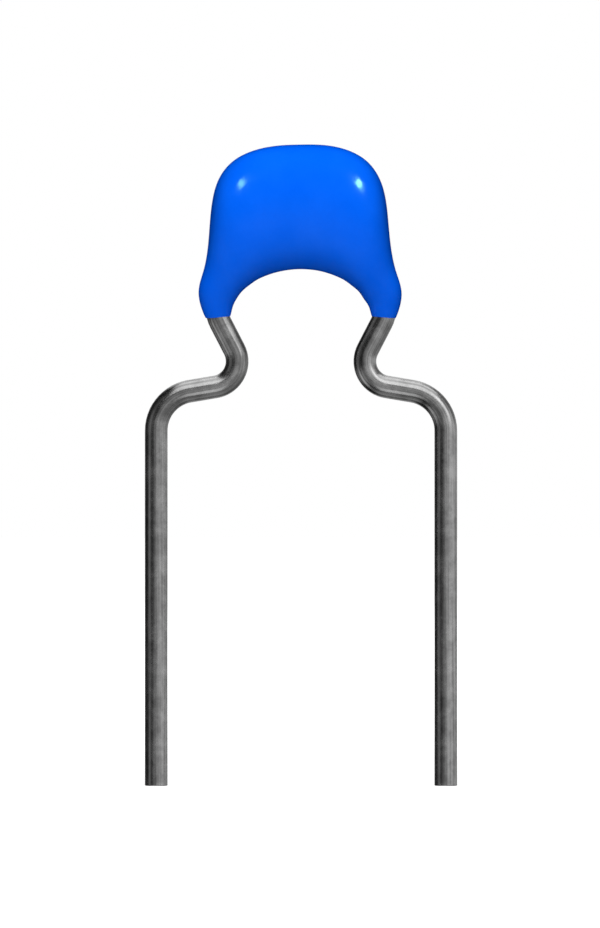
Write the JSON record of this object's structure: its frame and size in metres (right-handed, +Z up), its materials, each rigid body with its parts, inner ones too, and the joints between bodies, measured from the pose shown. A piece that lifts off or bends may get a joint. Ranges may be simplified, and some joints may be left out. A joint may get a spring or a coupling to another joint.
{
  "type": "multilayer ceramic capacitor",
  "caption": "Dipped radial ceramic capacitor: a glossy blue epoxy body arched over formed, kinked wire leads that solder through a circuit board.",
  "frame": {"origin": "midway between the leads, on the face of the board they go through, where their straight ends begin", "axes": "+Z up from the board towards the body, +X from the left lead to the right one, +Y from the front to the back"},
  "size_m": [0.0054, 0.0018, 0.0112],
  "materials": {
    "blue_epoxy": "glossy dipped epoxy",
    "ceramic": "matt sintered",
    "termination_metal": "satin tin plate",
    "solder": "satin",
    "tinned_wire": "dull tinned, drawn",
    "electrode_metal": "fired nickel"
  },
  "bodies": {
    "root": {"epoxy_coating": "blue_epoxy", "ceramic_chip": "ceramic", "left_termination": "termination_metal", "left_solder": "solder", "left_lead": "tinned_wire", "right_termination": "termination_metal", "right_solder": "solder", "right_lead": "tinned_wire", "left_electrode_1": "electrode_metal", "left_electrode_2": "electrode_metal", "left_electrode_3": "electrode_metal", "left_electrode_4": "electrode_metal", "left_electrode_5": "electrode_metal", "left_electrode_6": "electrode_metal", "right_electrode_1": "electrode_metal", "right_electrode_2": "electrode_metal", "right_electrode_3": "electrode_metal", "right_electrode_4": "electrode_metal", "right_electrode_5": "electrode_metal", "right_electrode_6": "electrode_metal"}
  },
  "joints": []
}
